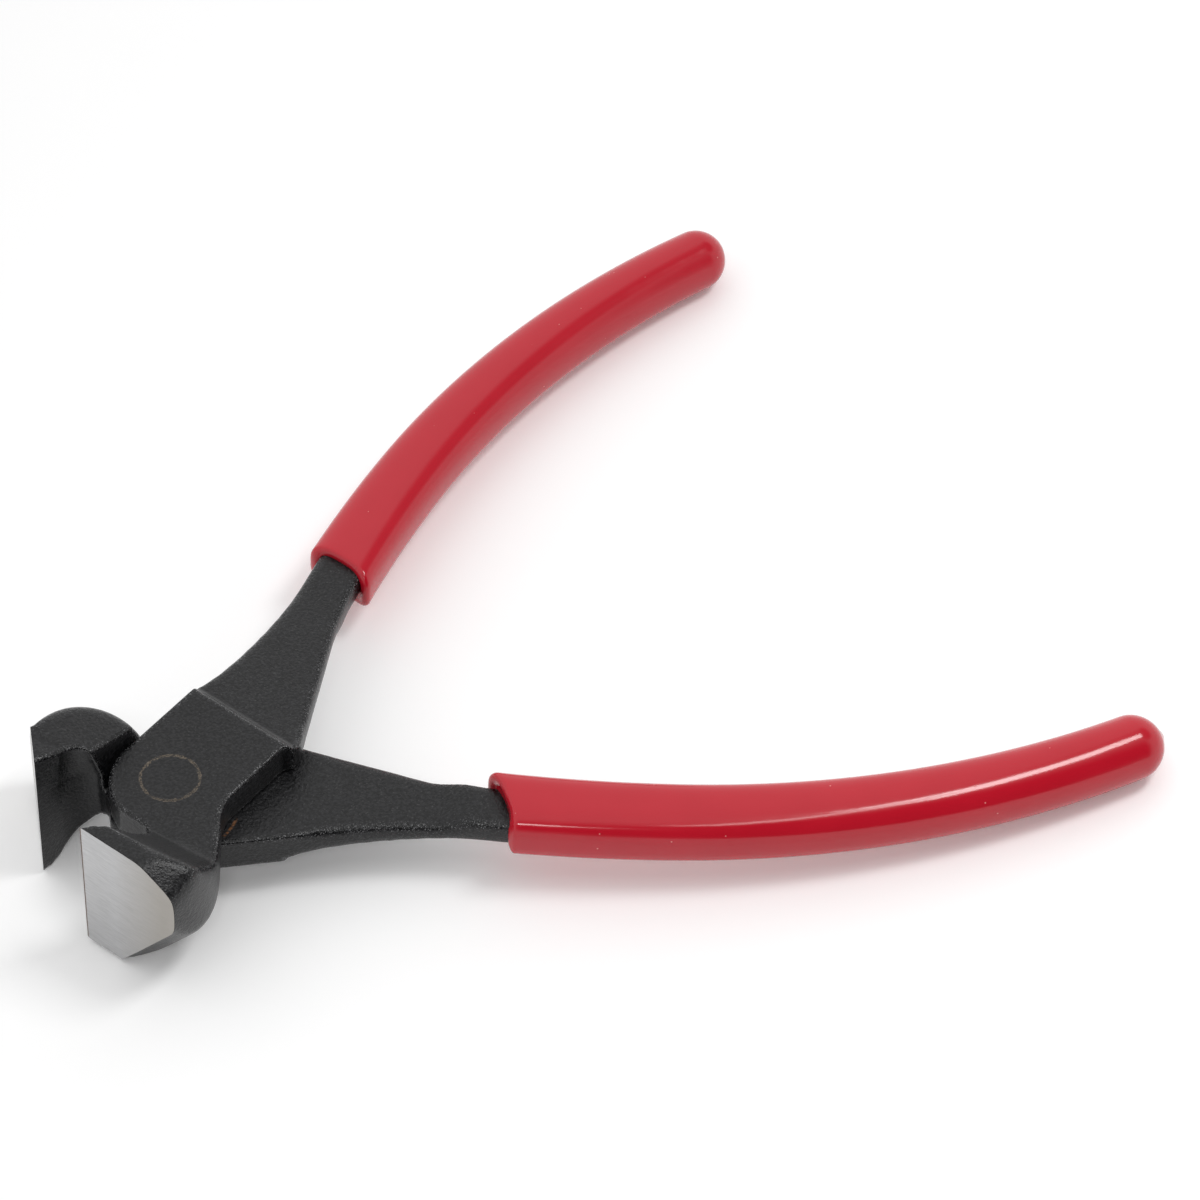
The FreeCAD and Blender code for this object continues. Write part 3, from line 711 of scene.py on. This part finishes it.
def build_grip(tree):
    t = tree.math
    into = tree.into
    grid = tree.node("GeometryNodeMeshGrid", Size_X=1.0, Size_Y=1.0,
                     Vertices_X=RINGS, Vertices_Y=AROUND + 1)
    spot = tree.node("GeometryNodeInputPosition").outputs[0]
    split = tree.node("ShaderNodeSeparateXYZ", Vector=spot)
    w = t("ADD", split.outputs["X"], 0.5)
    # the last column of the grid falls exactly on the first, so the skin closes there
    turn = t("FLOORED_MODULO", t("ADD", split.outputs["Y"], 0.5), 1.0)
    angle = t("MULTIPLY", turn, 2 * math.pi)
    half_ring = 0.5 / (RINGS - 1)
    lip_share = LIP_RINGS / (RINGS - 1)
    # the lip is half a turn of a small circle, the rest runs to the tip
    roll = t("MULTIPLY", t("DIVIDE", w, lip_share, clamp=True), math.pi)
    inset = t("MULTIPLY", into["Lip"], t("ADD", t("COSINE", roll), 1.0))
    lip_run = t("MULTIPLY", into["Lip"], t("SUBTRACT", 1.0, t("SINE", roll)))
    rest = t("DIVIDE", t("SUBTRACT", w, lip_share), 1.0 - lip_share, clamp=True)
    rest = t("SINE", t("MULTIPLY", rest, math.pi / 2))
    run = t("ADD", lip_run, t("MULTIPLY", rest, t("SUBTRACT", into["Length"], into["Lip"])))
    share = t("DIVIDE", run, into["Length"], clamp=True)
    ease = t("POWER", share, HEIGHT_EASE)
    tip = into["Tip Diameter"]
    wide = tree.between(share, into["Collar Width"], tip)
    tall = tree.between(ease, into["Collar Height"], tip)
    # the dome closes the last radius of the run, and the first and last rings are points
    radius = t("MULTIPLY", tip, 0.5)
    beyond = t("DIVIDE", t("SUBTRACT", run, t("SUBTRACT", into["Length"], radius)), radius,
               clamp=True)
    dome = t("SQRT", t("MAXIMUM", t("SUBTRACT", 1.0, t("MULTIPLY", beyond, beyond)), 0.0))
    past_first = t("GREATER_THAN", w, half_ring)
    before_last = t("LESS_THAN", w, 1.0 - half_ring)
    dome = t("MULTIPLY", t("MULTIPLY", dome, past_first), before_last)
    power = t("DIVIDE", 2.0, tree.between(ease, COLLAR_POWER, ROUND_POWER))
    sizes = []
    for extent, kind in ((wide, "COSINE"), (tall, "SINE")):
        wave = t(kind, angle)
        bulge = t("MULTIPLY", t("SIGN", wave), t("POWER", t("ABSOLUTE", wave), power))
        half = t("SUBTRACT", t("MULTIPLY", extent, 0.5), inset)
        sizes.append(t("MULTIPLY", t("MULTIPLY", half, bulge), dome))
    aside, above = sizes
    # near the collar the rings lean, and dip over the flats of the tang
    near = t("SUBTRACT", 1.0, t("DIVIDE", run, COLLAR_REACH, clamp=True))
    near = t("MULTIPLY", near, near)
    upness = t("MULTIPLY", t("MULTIPLY", t("SINE", angle), t("SINE", angle)), past_first)
    lean = t("MULTIPLY_ADD", aside, into["Skew"], t("MULTIPLY", upness, into["Mouth Dip"]))
    along = t("ADD", into["Start"], t("MULTIPLY_ADD", near, lean, run))
    sample = tree.node("GeometryNodeSampleCurve", {"mode": "LENGTH"}, Curves=into["Geometry"],
                       Length=along)
    way, spot = sample.outputs["Tangent"], sample.outputs["Position"]
    side = tree.vector("NORMALIZE", tree.vector("CROSS_PRODUCT", (0.0, 0.0, 1.0), way))
    place = tree.vector("ADD", spot, tree.vector("SCALE", side, aside))
    lifted = tree.node("ShaderNodeCombineXYZ", Z=above)
    place = tree.vector("ADD", place, lifted.outputs[0])
    # a drop of vinyl that set at the very tip
    off = t("ADD", t("MULTIPLY", aside, aside), t("MULTIPLY", above, above))
    drop = t("EXPONENT", t("MULTIPLY", off, -1.0 / DROP_RADIUS ** 2))
    drop = t("MULTIPLY", t("MULTIPLY", drop, t("GREATER_THAN", beyond, 0.0)), into["Drip"])
    place = tree.vector("ADD", place, tree.vector("SCALE", way, drop))
    moved = tree.node("GeometryNodeSetPosition", Geometry=grid.outputs["Mesh"], Position=place)
    closed = tree.node("GeometryNodeMergeByDistance", Geometry=moved.outputs[0],
                       Distance=WELD_GRIP)
    smooth = tree.node("GeometryNodeSetShadeSmooth", Geometry=closed.outputs[0])
    real = tree.node("GeometryNodeRealizeInstances", Geometry=smooth.outputs[0])
    done = tree.node("GeometryNodeSetMaterial", Geometry=real.outputs[0],
                     Material=into["Finish"])
    tree.join(done.outputs[0], tree.out)

build_grip(grip_tree)
print("grip tree has %d nodes" % len(grip_tree.tree.nodes))

# %% Make a grip
def set_input(modifier, name, value):
    """Set a named input, which the modifier keeps under the socket's identifier."""
    for item in modifier.node_group.interface.items_tree:
        if item.item_type == "SOCKET" and item.in_out == "INPUT" and item.name == name:
            modifier[item.identifier] = value

def make_grip(node, side, start, length, skew, drip):
    line = middle_line(node + "_line", side)
    grown = line.modifiers.new("grip", "NODES")
    grown.node_group = grip_tree.tree
    for name, value in (("Start", start), ("Length", length), ("Skew", skew),
                        ("Drip", drip), ("Finish", vinyl)):
        set_input(grown, name, value)
    graph = bpy.context.evaluated_depsgraph_get()
    mesh = bpy.data.meshes.new_from_object(line.evaluated_get(graph))
    bpy.data.objects.remove(line)
    shape = bmesh.new()
    shape.from_mesh(mesh)
    bmesh.ops.recalc_face_normals(shape, faces=shape.faces)
    shape.to_mesh(mesh)
    open_edges = sum(1 for edge in shape.edges if not edge.is_manifold)
    print("%s: %d faces, %d open edges, %.0f mm3"
          % (node, len(shape.faces), open_edges, shape.calc_volume() / MM ** 3))
    shape.free()
    piece = bpy.data.objects.new(node + "_dipped", mesh)
    bpy.context.scene.collection.objects.link(piece)
    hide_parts(node)
    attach(piece, side)

# %% Make both grips
# in millimetres along the middle line: the upper grip starts later and ends a little later
UPPER_START, UPPER_END = 5.6, 119.1 + 0.8
LOWER_START, LOWER_END = 2.4, 119.0
make_grip("upper_grip", "upper", UPPER_START * MM, (UPPER_END - UPPER_START) * MM,
          skew=0.285, drip=0.0)
make_grip("lower_grip", "lower", LOWER_START * MM, (LOWER_END - LOWER_START) * MM,
          skew=-0.42, drip=0.8 * MM)

# %% [markdown]
# ## Light
# A white studio with three soft boxes overhead. The white walls and floor give the black
# steel its shape and the vinyl its pale rims. The boxes draw the streaks down the grips
# and light the ground face. The sky has two dark parts, a wide one behind the viewer and
# a small one to the side, as a studio has where no light stands.

# %% World
scene = bpy.context.scene
world = bpy.data.worlds.new("studio")
world.use_nodes = True
scene.world = world
sky = Nodes(world.node_tree)
outlook = sky.node("ShaderNodeTexCoord").outputs["Generated"]

def darkness(direction, start, full):
    """1 where the sky is dark round a direction. start and full are cosines."""
    facing = sky.node("ShaderNodeVectorMath", {"operation": "DOT_PRODUCT"}, Vector=outlook)
    sky.join(Vector(direction).normalized(), facing.inputs[1])
    fall = sky.node("ShaderNodeMapRange", {"interpolation_type": "SMOOTHSTEP"},
                    From_Min=start, From_Max=full, Value=facing.outputs["Value"])
    return fall.outputs["Result"]

BESIDE_SHARE = 0.75
BRIGHT, DARK = 0.97, 0.06
behind = darkness((-0.06, -0.83, 0.54), 0.60, 0.90)
beside = darkness((0.66, -0.05, 0.75), 0.90, 0.985)
either = sky.math("MAXIMUM", behind, sky.math("MULTIPLY", beside, BESIDE_SHARE))
strength = sky.node("ShaderNodeMapRange", To_Min=BRIGHT, To_Max=DARK, Value=either)
background = sky.tree.nodes["Background"]
sky.join(strength.outputs["Result"], background.inputs["Strength"])
sky.join((1.0, 1.0, 1.0, 1.0), background.inputs["Color"])
print("sky has %d nodes" % len(sky.tree.nodes))

# %% Soft boxes
def soft_box(name, start, end, width, power):
    """A long box of light that hangs between two points and shines down."""
    data = bpy.data.lights.new(name, "AREA")
    data.shape = "RECTANGLE"
    data.size = (end - start).length
    data.size_y = width
    data.energy = power
    box = bpy.data.objects.new(name, data)
    box.location = (start + end) / 2
    box.rotation_euler = (0.0, 0.0, math.atan2(end.y - start.y, end.x - start.x))
    scene.collection.objects.link(box)

# in metres and watts: where a box starts and ends in plan, its width and its power
BOX_HEIGHT = 0.72
for name, start, end, width, power in (
        ("front_box", (-0.42, -0.52), (-0.26, -0.44), 0.13, 0.9),
        ("long_box", (-0.02, -0.33), (0.30, -0.15), 0.06, 0.40),
        ("rear_box", (0.24, -0.19), (0.52, -0.13), 0.17, 2.0)):
    soft_box(name, Vector((*start, BOX_HEIGHT)), Vector((*end, BOX_HEIGHT)), width, power)
scene.view_settings.view_transform = "Standard"
scene.view_settings.look = "None"
